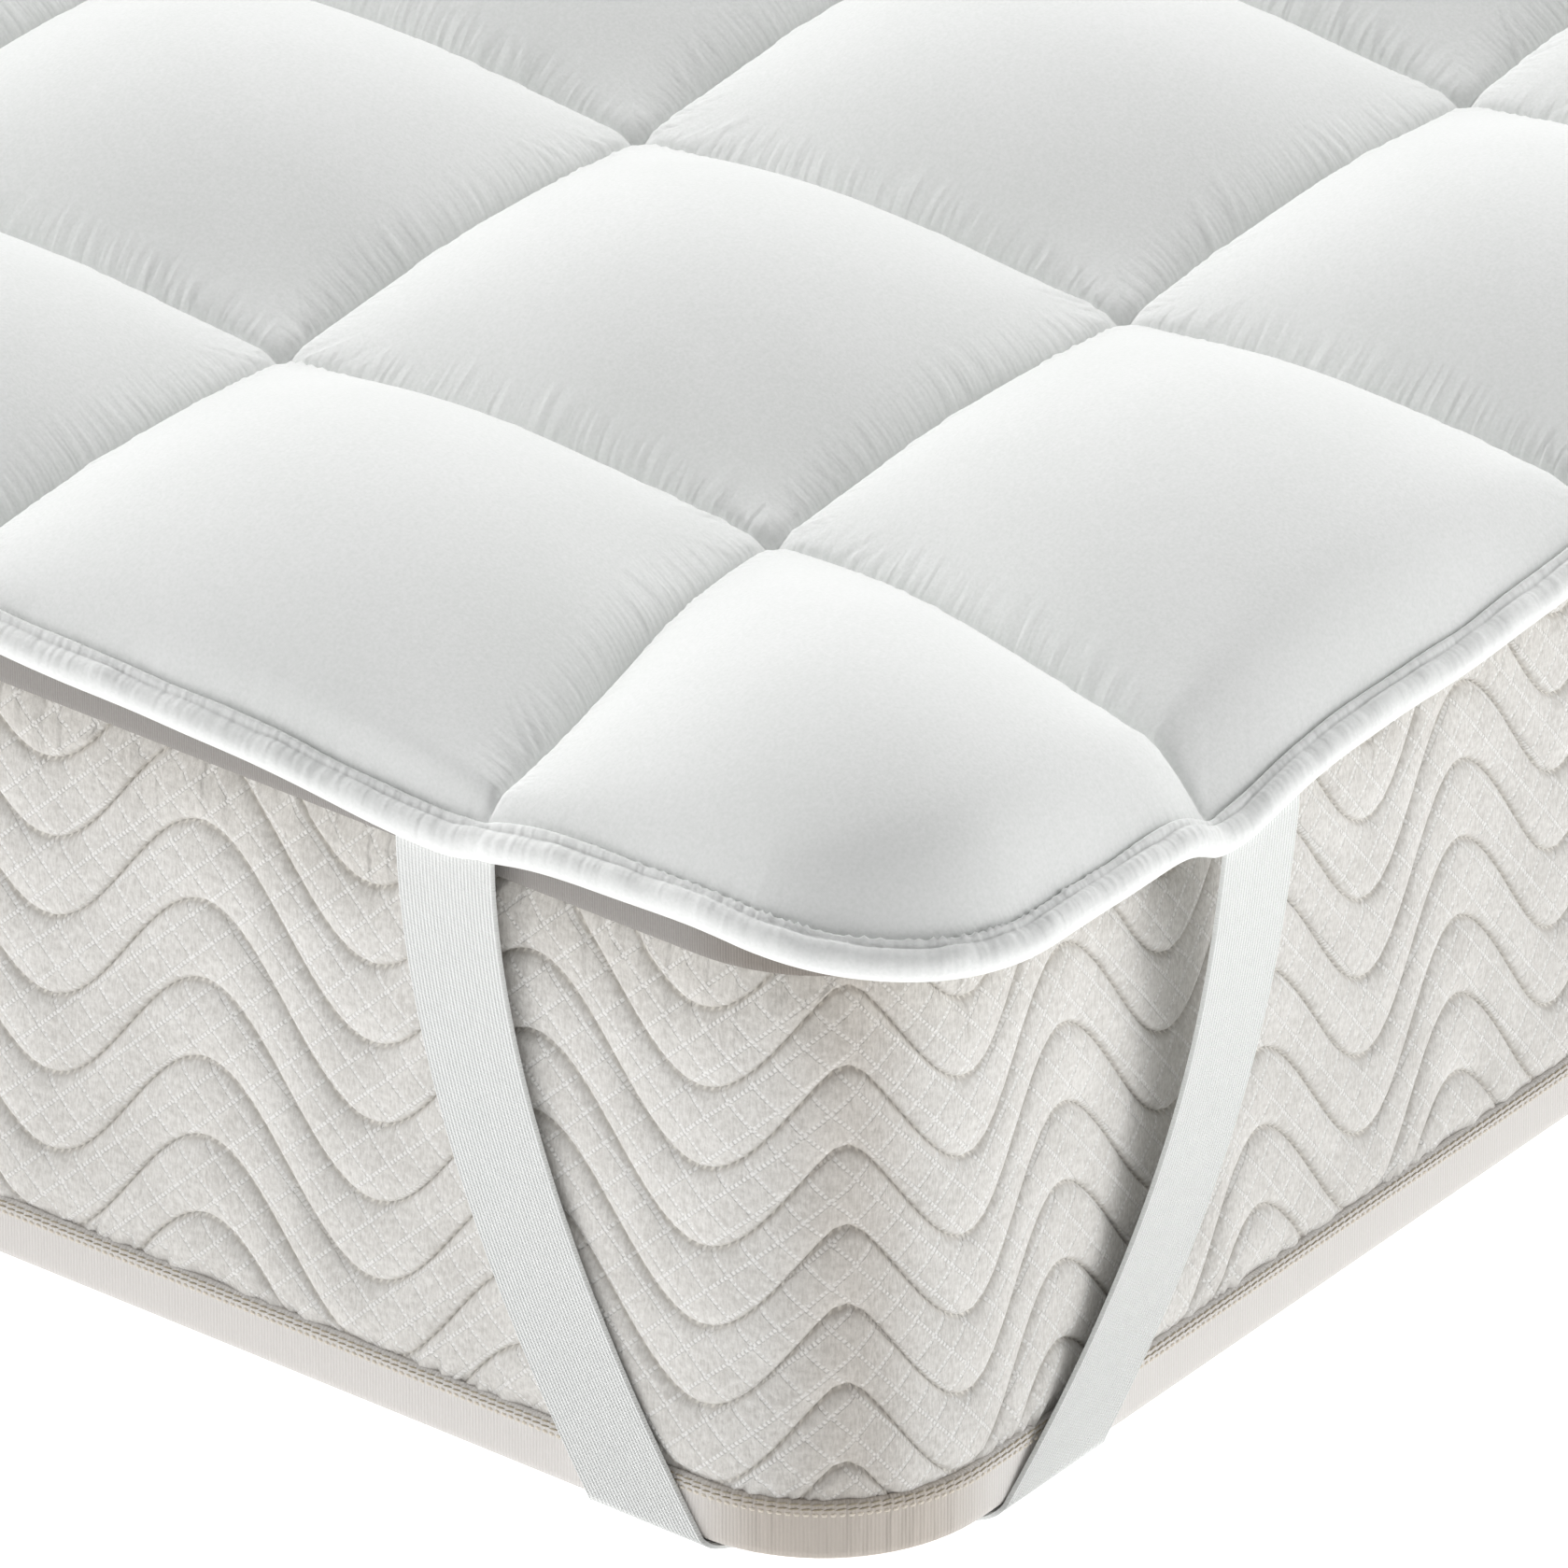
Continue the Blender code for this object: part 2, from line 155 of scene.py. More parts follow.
def puff(across, along):
    """Height of the filling over the seams, from 0 at a seam to 1 in the middle of a box."""
    u = np.sin(np.pi * (across % 1.0))
    v = np.sin(np.pi * (along % 1.0))
    return np.maximum(u * v, 0.0) ** CROWN_FULLNESS


def drawn_in(boxes_from_rim):
    """How much a seam's end draws the rim in: 1 at a seam, 0 between, and 0 where the straps hold it out."""
    return np.where(boxes_from_rim < 1.5, 0.0, 1 - np.sin(np.pi * (boxes_from_rim % 1.0)))


def pull(near_seam, towards_rim):
    """Shift of a corner box's seam towards the corner, growing to its end at the rim."""
    return SEAM_PULL * smooth(towards_rim) * np.maximum(0.0, 1 - np.abs(near_seam))


def past_arc_centre(place, half, radius):
    """How far points lie past the centre of their nearest corner arc, along X and along Y."""
    return np.abs(place) - (half - radius)


def outward(place, half, radius):
    """Unit vectors out of a rounded rectangle at points near its edge."""
    past = past_arc_centre(place, half, radius)
    out = np.maximum(past, 0.0)
    straight = (out.sum(axis=1) == 0)[:, None]
    nearest = np.stack([past[:, 0] > past[:, 1], past[:, 0] <= past[:, 1]], axis=1)
    out = np.where(straight, nearest, out)
    return np.copysign(out / np.linalg.norm(out, axis=1)[:, None], place)


def plan(place):
    """Where points of the flat, square-cut grid lie once it is quilted and its corners are rounded."""
    from_rim = (HALF_PAD - np.abs(place)) / BOX
    scallop = RIM_SCALLOP * drawn_in(from_rim[:, ::-1]) * smooth(1 - from_rim * BOX / SCALLOP_REACH)
    far = np.abs(place) + pull(from_rim - 1, 1 - from_rim[:, ::-1]) - scallop
    past = past_arc_centre(far, HALF_PAD, PAD_RADIUS) / PAD_RADIUS
    in_arc = (past > 0).all(axis=1)[:, None]
    rounding = PAD_RADIUS * past * (np.sqrt(1 - np.clip(past[:, ::-1], 0, 1) ** 2 / 2) - 1)
    return np.copysign(far + np.where(in_arc, rounding, 0.0), place)


def strap_dip(from_corner, leg):
    """How far a leg of a strap pulls the pad's edge down at this distance from the corner."""
    distance = from_corner - leg.dip_at
    spread = np.where(distance > 0, leg.dip_far, leg.dip_near)
    return leg.dip * np.exp(-((distance / spread) ** 2))


def settled(place, height):
    """Points at this height over the under cloth, once the pad lies on the mattress and its edge hangs."""
    out = np.maximum(past_arc_centre(place, HALF_MATTRESS, CORNER_RADIUS), 0.0)
    length = np.maximum(np.linalg.norm(out, axis=1), 1e-9)
    overhang = length - CORNER_RADIUS
    endness = (out[:, 1] / length) ** 2
    widest = OVERHANG[0] * (1 - endness) + OVERHANG[1] * endness
    share = np.clip((overhang + DROOP_START) / (widest + DROOP_START), 0, 1) ** DROOP_CURVE
    from_corner = HALF_MATTRESS - np.abs(place)
    side = SIDE_DROOP * smooth(from_corner[:, 1] / SIDE_LEG.top) + strap_dip(from_corner[:, 1], SIDE_LEG)
    end = END_DROOP + strap_dip(from_corner[:, 0], END_LEG)
    drop = share * (side * (1 - endness) + end * endness)
    shrink = share * END_SHRINK * endness
    y = place[:, 1] - np.copysign(shrink, place[:, 1])
    return np.stack([place[:, 0], y, UNDER_CLOTH + height - drop], axis=1)


def rim(flat):
    """Middle of the pad's edge, and the direction out of it, at points of the flat grid's rim."""
    place = plan(flat)
    return settled(place, SEAM_THICKNESS / 2), outward(place, HALF_PAD, PAD_RADIUS)


# ---- meshes ----


def piece(name, points, faces, finish):
    """A smooth-shaded object of these faces that rides on the one body."""
    mesh = bpy.data.meshes.new(name)
    mesh.from_pydata(points, [], faces)
    mesh.materials.append(finish)
    mesh.shade_smooth()
    made = bpy.data.objects.new(name, mesh)
    bpy.context.scene.collection.objects.link(made)
    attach(made, "root")
    return made


def closed_roll(name, rings, finish, along, total, maps):
    """A roll from rings of points (ring, point, XYZ), each joined to the next and the last to the first.

    Each UV map has the distance along the roll, up to its total, and its own values across, both in metres.
    """
    count, around = rings.shape[:2]
    index = np.arange(count * around).reshape(count, around)
    after = np.roll(index, -1, axis=0)
    faces = np.stack([index, np.roll(index, -1, axis=1), np.roll(after, -1, axis=1), after], axis=-1)
    made = piece(name, rings.reshape(-1, 3), faces.reshape(-1, 4).tolist(), finish)
    ends = np.append(along, total)
    start, end = np.repeat(ends[:-1], around), np.repeat(ends[1:], around)
    for map_name, across in maps.items():
        near = np.broadcast_to(across, (count, around))
        far = np.roll(near, -1, axis=0)
        corners = [side.ravel() for side in (near, np.roll(near, -1, axis=1), np.roll(far, -1, axis=1), far)]
        pairs = [np.stack(pair, axis=1) for pair in zip((start, start, end, end), corners)]
        add_map(made.data, map_name, np.stack(pairs, axis=1))
    return made


def add_map(mesh, name, values):
    """Writes one UV map, a pair of metres for each face corner."""
    layer = mesh.uv_layers.new(name=name)
    layer.data.foreach_set("uv", np.asarray(values, np.float32).ravel())


def add_value(mesh, name, values):
    """Writes one number for each point."""
    mesh.attributes.new(name, "FLOAT", "POINT").data.foreach_set("value", np.asarray(values, np.float32))


def run_along(points):
    """Distances along a line of points from its first one."""
    return np.concatenate([[0], np.cumsum(np.linalg.norm(np.diff(points, axis=0), axis=1))])


def gathers(columns):
    """A value for each column of mesh: 0 in the valleys, and a chance height on the ridges between them."""
    ridges = np.cumsum(chance.choice((2, 2, 3), columns))
    ridges = ridges[ridges < columns - 1]
    line = np.zeros(columns)
    line[ridges] = chance.uniform(0.1, 1.0, len(ridges))
    return line


# ---- quilted pad ----


def box_ring(inset, steps):
    """Points round a box at an inset from its seams, anticlockwise from its near left corner."""
    t = np.arange(steps) / steps
    low, high = np.array([inset, inset]), BOX - inset
    x = low[0] + (high[0] - low[0]) * t
    y = low[1] + (high[1] - low[1]) * t
    near = np.stack([x, np.full(steps, low[1])], axis=1)
    right = np.stack([np.full(steps, high[0]), y], axis=1)
    far = np.stack([BOX[0] - x, np.full(steps, high[1])], axis=1)
    left = np.stack([np.full(steps, low[0]), BOX[1] - y], axis=1)
    return np.concatenate([near, right, far, left])


def box_mesh():
    """Flat mesh of one box: its points, its faces and which of its four seams each face lies along."""
    points, faces, seams = [], [], []
    start = 0
    last = None
    levels = [(inset, FINE_STEPS) for inset in FINE_RINGS]
    levels += [(inset, FINE_STEPS // 2) for inset in MIDDLE_RINGS] + [(GRID_INSET, FINE_STEPS // 4)]
    for inset, steps in levels:
        points.append(box_ring(inset, steps))
        ring = start + np.arange(4 * steps)
        start += 4 * steps
        after = np.roll(ring, -1)
        if last is not None and len(last) == len(ring):
            last_after = np.roll(last, -1)
            faces += np.stack([last, last_after, after, ring], axis=1).tolist()
            seams += (np.arange(4 * steps) // steps).tolist()
        elif last is not None:
            first, middle, third = last[0::2], last[1::2], np.roll(last, -2)[0::2]
            for corners in ((first, middle, ring), (middle, after, ring), (middle, third, after)):
                faces += np.stack(corners, axis=1).tolist()
                seams += (np.arange(4 * steps) // steps).tolist()
        last = ring
    steps = FINE_STEPS // 4
    grid = np.zeros((steps + 1, steps + 1), int)
    grid[:-1, 0] = last[:steps]
    grid[-1, :-1] = last[steps:2 * steps]
    grid[:0:-1, -1] = last[2 * steps:3 * steps]
    grid[0, :0:-1] = last[3 * steps:]
    inner = (steps - 1) ** 2
    grid[1:-1, 1:-1] = start + np.arange(inner).reshape(steps - 1, steps - 1)
    t = np.arange(1, steps) / steps
    x, y = np.meshgrid(t, t, indexing="ij")
    points.append(GRID_INSET + np.stack([x.ravel(), y.ravel()], axis=1) * (BOX - 2 * GRID_INSET))
    quads = np.stack([grid[:-1, :-1], grid[1:, :-1], grid[1:, 1:], grid[:-1, 1:]], axis=-1).reshape(-1, 4)
    faces += quads.tolist()
    seams += [0] * len(quads)
    return np.concatenate(points), faces, seams


def along_and_from(points, seam):
    """Places along one of a box's seams, and distances from it."""
    x, y = points[:, 0], points[:, 1]
    return ((x, y), (y, BOX[0] - x), (BOX[0] - x, BOX[1] - y), (BOX[1] - y, x))[seam]


def puckered(points, at_rim):
    """Points of a box leaning with the puckers beside its four seams, and the height of those puckers."""
    bent = points.copy()
    height = np.zeros(len(points))
    columns = np.arange(FINE_STEPS + 1)
    for seam in range(4):
        along, away = along_and_from(points, seam)
        across = np.clip((along - away) / np.maximum(BOX[seam % 2] - 2 * away, MM), 0, 1)
        beside = (away < GRID_INSET) & (away > 0) & (across > 0) & (across < 1)
        column, away = across[beside] * FINE_STEPS, away[beside]
        long = np.interp(column, columns, chance.uniform(*PUCKER_LENGTH, len(columns)))
        ridge = np.interp(column, columns, gathers(len(columns)))
        bunched = 0.55 + 0.45 * np.sin(2 * np.pi * (across[beside] * BUNCHES_PER_SEAM + chance.uniform()))
        share = RIM_PUCKER if at_rim[seam] else 1.0
        height[beside] += share * ridge * bunched * smooth(away / PUCKER_RISE) * (1 - smooth(away / long))
        sway = np.sin(2 * np.pi * (across[beside] + chance.uniform())) * np.sin(np.pi * across[beside])
        way = (1, -1)[seam // 2]
        bent[beside, seam % 2] += way * PUCKER_LEAN * sway * away * (1 - smooth(away / GRID_INSET))
    return bent, PUCKER_HEIGHT * height


def sunk(points, at_rim):
    """How far a box's points sink along its seams and at their crossings, but not where the edge roll is."""
    aways = [along_and_from(points, seam)[1] for seam in range(4)]
    inner = [np.where(at_rim[seam], 1.0, aways[seam]) for seam in range(4)]
    ends = [smooth(aways[seam] / DIMPLE[1]) if at_rim[seam] else 1.0 for seam in range(4)]
    line = SEAM_SINK[0] * np.exp(-((np.minimum.reduce(inner) / SEAM_SINK[1]) ** 2))
    from_crossings = [np.hypot(inner[seam], inner[seam - 1]) for seam in range(4)]
    dimples = sum(DIMPLE[0] * np.exp(-((distance / DIMPLE[1]) ** 2)) for distance in from_crossings)
    return (line + dimples) * np.prod(np.broadcast_arrays(*ends), axis=0)


def flat_half(name, rows, cloth):
    """The top cloth of these rows of boxes on the flat grid, and the height of each of its points."""
    points, faces, seams = box_mesh()
    corners = np.concatenate([np.array(face) for face in faces])
    corner_seams = np.repeat(seams, [len(face) for face in faces])
    beside_seam = np.zeros((len(corners), 2))
    for seam in range(4):
        chosen = corner_seams == seam
        beside_seam[chosen] = np.stack(along_and_from(points[corners[chosen]], seam), axis=1)
    places, heights, maps = [], [], []
    for row in rows:
        for column in range(COLUMNS):
            uneven = 1 + CROWN_UNEVEN * math.sin(12.9 * column + 78.2 * row)
            fill = CROWN * uneven * puff(points[:, 0] / BOX[0], points[:, 1] / BOX[1])
            at_rim = (row == 0, column == COLUMNS - 1, row == ROWS - 1, column == 0)
            bent, pucker = puckered(points, at_rim)
            places.append(bent + (column, row) * BOX - HALF_PAD)
            heights.append(SEAM_THICKNESS + fill + pucker - sunk(points, at_rim))
            shift = BOX[1] * (4 * (row * COLUMNS + column) + corner_seams)
            maps.append(beside_seam + np.stack([shift, RIM_SMOOTH * np.array(at_rim)[corner_seams]], axis=1))
    places = np.concatenate(places)
    height = np.concatenate(heights)
    key = np.round(places / (0.01 * MM)).astype(np.int64)
    _, first, merged = np.unique(key, axis=0, return_index=True, return_inverse=True)
    merged = merged.reshape(-1, len(points))
    all_faces = [names[face].tolist() for names in merged for face in faces]
    flat = places[first]
    half = piece(name, np.column_stack([flat, np.zeros(len(flat))]), all_faces, cloth)
    add_map(half.data, "beside_seam", np.concatenate(maps))
    return half, height[first]


def add_under_cloth(mesh):
    """Closes a half underneath with loops from its edge inwards, numbered below the grid for now."""
    shape = bmesh.new()
    shape.from_mesh(mesh)
    edges = [edge for edge in shape.edges if edge.is_boundary]
    for level in range(1, len(UNDER_LOOPS) + 1):
        made = bmesh.ops.extrude_edge_only(shape, edges=edges)["geom"]
        for vertex in (part for part in made if isinstance(part, bmesh.types.BMVert)):
            vertex.co.z = -level
        edges = [part for part in made if isinstance(part, bmesh.types.BMEdge) and part.is_boundary]
    bmesh.ops.contextual_create(shape, geom=edges)
    shape.to_mesh(mesh)
    shape.free()


def lay_down(mesh, height, side):
    """Moves a half from the flat grid to where it lies. The side is -1 for the front one, 1 for the back."""
    raw = np.zeros(len(mesh.vertices) * 3, np.float32)
    mesh.vertices.foreach_get("co", raw)
    raw = raw.reshape(-1, 3).astype(float)
    level = np.round(-raw[:, 2]).astype(int)
    top = level == 0
    place = plan(raw[:, :2])
    cloth_height = np.zeros(len(raw))
    cloth_height[:len(height)] = height
    result = settled(place, cloth_height)
    inward = np.array((0,) + UNDER_LOOPS)[level][:, None]
    out = outward(place, HALF_PAD, PAD_RADIUS)
    in_middle = np.abs(raw[:, 1]) < MM
    drawn = place - inward * np.where(in_middle[:, None], 0.0, out)
    drawn[:, 0] = np.where(in_middle, place[:, 0] * (1 - inward[:, 0] / HALF_PAD[0]), drawn[:, 0])
    drawn[:, 1] = drawn[:, 1] * (1 - inward[:, 0] / HALF_PAD[1]) + side * inward[:, 0]
    under = settled(drawn, np.zeros(len(raw)))
    result[~top] = under[~top]
    mesh.vertices.foreach_set("co", result.astype(np.float32).ravel())
    mesh.update()
    mesh.shade_smooth()


def make_half_pad(name, rows, cloth):
    """Half of the pad, from one end to the seam across its middle."""
    half, height = flat_half(name, rows, cloth)
    add_under_cloth(half.data)
    lay_down(half.data, height, -1.0 if rows[0] == 0 else 1.0)
    return half


# ---- binding ----


def flat_rim():
    """Points of the flat grid's rim, anticlockwise from the front left corner."""
    t = np.arange(FINE_STEPS) / FINE_STEPS
    xs = (np.arange(COLUMNS)[:, None] + t).ravel() * BOX[0] - HALF_PAD[0]
    ys = (np.arange(ROWS)[:, None] + t).ravel() * BOX[1] - HALF_PAD[1]
    front = np.stack([xs, np.full(len(xs), -HALF_PAD[1])], axis=1)
    right = np.stack([np.full(len(ys), HALF_PAD[0]), ys], axis=1)
    return np.concatenate([front, right, -front, -right])


def wander(distance, spacing, total):
    """A smooth random line from -1 to 1 along a closed path, with a value every so often."""
    count = round(total / spacing)
    values = chance.uniform(-1, 1, count)
    place = distance / total * count
    low = np.floor(place).astype(int)
    return values[low % count] + (values[(low + 1) % count] - values[low % count]) * smooth(place - low)


def make_binding(cloth):
    """The edge roll: a narrow ridge of the top cloth, a line of stitches and the full roll under it."""
    flat = flat_rim()
    middle, out = rim(flat)
    steps = np.linalg.norm(np.roll(middle, -1, axis=0) - middle, axis=1)
    total = steps.sum()
    distance = np.concatenate([[0], np.cumsum(steps)[:-1]])
    boxes = ((HALF_PAD - np.abs(flat)) / BOX).max(axis=1)
    crumpled = 0.10 + 0.90 * (1 - smooth((boxes - 0.45) / 0.4))
    tuck = np.exp(-((np.abs((boxes + 0.5) % 1.0 - 0.5) * BOX[0] / TUCK_WIDTH) ** 2)) * (boxes > 0.5)
    lumps = wander(distance, LUMPS, total) + 0.6 * crumpled * gathers(len(flat))
    fullness = 1 + 0.05 * wander(distance, BULGES, total) - 0.16 * tuck
    ridge = 0.45 * wander(distance, RIDGE_WAVES, total) + crumpled * (1.3 * gathers(len(flat)) - 0.5)
    ridge = MM * (ridge - 0.9 * tuck)
    lift = 0.4 * MM * wander(distance, RISES, total)
    section = np.array((
        (0.0, 3.2), (-0.2, 4.9), (0.5, 6.1), (1.7, 6.3), (2.5, 5.3), (2.9, 4.2), (3.6, 4.3), (5.2, 4.5),
        (7.2, 3.3), (8.6, 1.0), (8.9, -1.6), (8.0, -4.2), (6.0, -6.0), (3.6, -6.4), (1.4, -5.3), (0.0, -3.2),
    )) * MM
    # How much of the lumps each point of the section takes: most on the shoulder beside the stitches
    lumpy = np.array([0, 0, 0, 0, 0, 0.2, 0.8, 1.0, 0.8, 0.35, 0.1, 0, 0, 0, 0, 0]) * 0.9 * MM
    stitched = 5
    rings = np.zeros((len(middle), len(section), 3))
    for place, (away, up) in enumerate(section):
        in_ridge = 1 <= place < stitched
        at_pad = place in (0, len(section) - 1)
        wide = away * (1 if in_ridge or away == 0 else fullness) + 0.4 * lumpy[place] * lumps
        high = up + (ridge if in_ridge else 0) + (0 if at_pad else lift) + lumpy[place] * lumps
        rings[:, place, :2] = middle[:, :2] + out * (GAP + np.broadcast_to(wide, len(middle)))[:, None]
        rings[:, place, 2] = middle[:, 2] + high
    round_section = run_along(section)
    from_stitches = np.abs(round_section - round_section[stitched])
    maps = {"beside_seam": from_stitches}
    roll = closed_roll("topper_binding_roll", rings, cloth, distance, total, maps)
    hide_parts("topper_binding")


# ---- straps ----


def edge_over(on_end, from_corner):
    """Overhang and height of the middle of the edge roll at these distances from the corner."""
    back = np.linspace(0, 2 * BOX[1], 201)
    fixed = np.full(len(back), HALF_PAD[1 if on_end else 0])
    flat = np.stack([HALF_PAD[0] - back, fixed] if on_end else [fixed, HALF_PAD[1] - back], axis=1)
    middle = rim(flat)[0]
    inset = HALF_MATTRESS - middle[:, :2]
    place, overhang = (inset[:, 0], -inset[:, 1]) if on_end else (inset[:, 1], -inset[:, 0])
    height = np.interp(from_corner, place, middle[:, 2])
    return np.interp(from_corner, place, overhang) + BINDING_DEPTH / 2, height


def strap_top(leg, on_end):
    """Overhang and height at which a strap's leg meets the underside of the edge roll."""
    overhang, height = edge_over(on_end, leg.top + STRAP_WIDTH * np.linspace(-0.5, 0.5, 41))
    lowest = np.argmin(height)
    return overhang[lowest], height[lowest] - BINDING_HEIGHT / 2 - GAP


def strap_leg(leg, under_slant, on_end):
    """Centres (out of the side, from the corner, up) and level half widths, from the top to the underside."""
    top_out, top_height = strap_top(leg, on_end)
    bend_height = STRAP_BEND + STRAP_THICKNESS / 2 + GAP
    rise = top_height - bend_height
    run = leg.top - leg.foot
    up = 1 - np.arange(LEG_STEPS + 1) / LEG_STEPS
    centres = np.stack([
        STRAP_FOOT_OUT + (top_out - STRAP_FOOT_OUT) * up,
        leg.foot + run * (1 - (1 - up) ** leg.curve),
        bend_height + rise * up,
    ], axis=1)
    slant = run / rise * leg.curve * (1 - up) ** (leg.curve - 1)
    foot_slant = slant[-1]
    turn = math.pi / 2 * np.arange(1, BEND_STEPS + 1) / BEND_STEPS
    bend = np.stack([
        STRAP_FOOT_OUT - STRAP_BEND * (1 - np.cos(turn)),
        leg.foot - foot_slant * STRAP_BEND * turn,
        bend_height - STRAP_BEND * np.sin(turn),
    ], axis=1)
    bend_slant = foot_slant + (under_slant - foot_slant) * turn / (math.pi / 2)
    slants = np.concatenate([slant, bend_slant])
    return np.concatenate([centres, bend]), STRAP_WIDTH / 2 * np.sqrt(1 + slants ** 2)


def strap_edges(signs):
    """The two edges of a strap, from the long side under the corner and up the end."""
    side, side_half = strap_leg(SIDE_LEG, SIDE_LEG.foot / END_LEG.foot, on_end=False)
    end, end_half = strap_leg(END_LEG, END_LEG.foot / SIDE_LEG.foot, on_end=True)
    across = np.array([-1, 1])
    side_edges, end_edges = [], []
    for sign in across:
        for edges, centres, half, on_end in ((side_edges, side, side_half, False),
                                             (end_edges, end, end_half, True)):
            out, place, up = centres[:, 0], centres[:, 1] + sign * half, centres[:, 2]
            sewn_out, sewn_up = edge_over(on_end, place[0])
            out, place, up = np.append(sewn_out, out), np.append(place[0], place), np.append(sewn_up, up)
            edges.append(np.stack([place, -out, up] if on_end else [-out, place, up], axis=1))
    end_edges = [edge[::-1] for edge in end_edges]
    near, far = (np.concatenate(pair) for pair in zip(side_edges, end_edges))
    for edge in (near, far):
        edge[:, :2] = np.array(signs) * (HALF_MATTRESS - edge[:, :2])
    return near, far


def make_strap(name, signs, elastic):
    """One ribbed elastic strap from the edges that it runs between."""
    near, far = strap_edges(signs)
    centre = (near + far) / 2
    forward = np.gradient(centre, axis=0)
    normal = np.cross(forward, far - near)
    normal /= np.linalg.norm(normal, axis=1)[:, None]
    if normal[0] @ np.array([signs[0], 0, 0]) < 0:
        normal = -normal
    t = np.linspace(0, 1, 4 * RIBS + 1)
    relief = 0.14 * MM * (np.cos(2 * np.pi * RIBS * (t - 0.5 / RIBS)) - 1)
    relief[0] = relief[-1] = -0.6 * MM
    front = near[:, None] + (far - near)[:, None] * t[None, :, None]
    front = front + normal[:, None] * (STRAP_THICKNESS / 2 + relief)[None, :, None]
    t_back = np.array([1.0, 0.5, 0.0])
    back = near[:, None] + (far - near)[:, None] * t_back[None, :, None]
    back = back - normal[:, None] * STRAP_THICKNESS / 2
    rings = np.concatenate([front, back], axis=1)
    stations, around = rings.shape[:2]
    index = np.arange(stations * around).reshape(stations, around)
    turned = np.roll(index, -1, axis=1)
    faces = np.stack([index[:-1], turned[:-1], turned[1:], index[1:]], axis=-1).reshape(-1, 4).tolist()
    faces += [index[0, ::-1].tolist(), index[-1].tolist()]
    strap = piece("elastic_" + name, rings.reshape(-1, 3), faces, elastic)
    shape = bmesh.new()
    shape.from_mesh(strap.data)
    bmesh.ops.recalc_face_normals(shape, faces=shape.faces)
    shape.to_mesh(strap.data)
    shape.free()
    strap.data.set_sharp_from_angle(angle=math.radians(55))
    run = run_along(centre)
    width = STRAP_WIDTH * np.concatenate([t, t_back])
    of_point = np.stack([np.repeat(run, around), np.tile(width, stations)], axis=1)
    corners = np.zeros(len(strap.data.loops), np.int32)
    strap.data.loops.foreach_get("vertex_index", corners)
    add_map(strap.data, "weave", of_point[corners])
    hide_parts("corner_strap_" + name)


# ---- mattress border and tapes ----


def wave_phase(from_mitre, total, wave):
    """Phase of the stitched waves along a side, the same from both of its ends."""
    spare = wave.count - (total + 2 * wave.beyond) / wave.length
    spread = smooth((from_mitre - wave.settled) / (total - 2 * wave.settled))
    phase = 2 * np.pi * ((from_mitre + wave.beyond) / wave.length + spare * spread)
    return phase - wave.lean * (1 - 2 * smooth(from_mitre / total * 3 - 1)) * (1 - np.cos(phase))


def border_path(offset, end_stretch=1.0):
    """A path round the mattress from the middle of its front right corner, anticlockwise.

    It gives places this far outside the side, directions out, distances along, the heights of the waves,
    distances from the nearest mitre, and the whole length. Cloth that is drawn tighter along the ends has
    longer distances there than the mattress.
    """
    places, outs, waves, distances, mitres = [], [], [], [], []
    start = 0.0
    arc = CORNER_RADIUS * math.pi / 4
    straight = 2 * (HALF_MATTRESS - CORNER_RADIUS)
    for turn in range(4):
        long_side = turn % 2 == 0
        length = straight[1] if long_side else straight[0]
        total = length + 2 * arc
        count = BORDER_COLUMNS[0 if long_side else 1]
        s = np.arange(count) / count * total
        bend = np.clip((s - arc) / arc, -1, 0) + np.clip((s - arc - length) / arc, 0, 1)
        along = np.clip(s - arc, 0, length) - length / 2
        reach = (HALF_MATTRESS[0] if long_side else HALF_MATTRESS[1]) - CORNER_RADIUS
        out = np.stack([np.cos(bend * math.pi / 4), np.sin(bend * math.pi / 4)], axis=1)
        place = np.stack([np.full(count, reach), along], axis=1) + out * (CORNER_RADIUS + offset)
        spin = turn * math.pi / 2
        turned = np.array([(math.cos(spin), math.sin(spin)), (-math.sin(spin), math.cos(spin))])
        places.append(place @ turned)
        outs.append(out @ turned)
        mitre = np.minimum(s, total - s)
        from_end = np.hypot(mitre, MITRE_ROUND)
        rounded = np.where(s < total / 2, from_end, total - from_end)
        phase = wave_phase(rounded, total, SIDE_WAVE if long_side else END_WAVE)
        waves.append(WAVE_HALF_HEIGHT * np.cos(phase) + MITRE_LIFT * np.exp(-((mitre / MITRE_REACH) ** 2)))
        stretch = 1.0 if long_side else end_stretch
        distances.append(start + s / stretch)
        mitres.append(mitre)
        start += total / stretch
    return (*(np.concatenate(parts) for parts in (places, outs, distances, waves, mitres)), start)


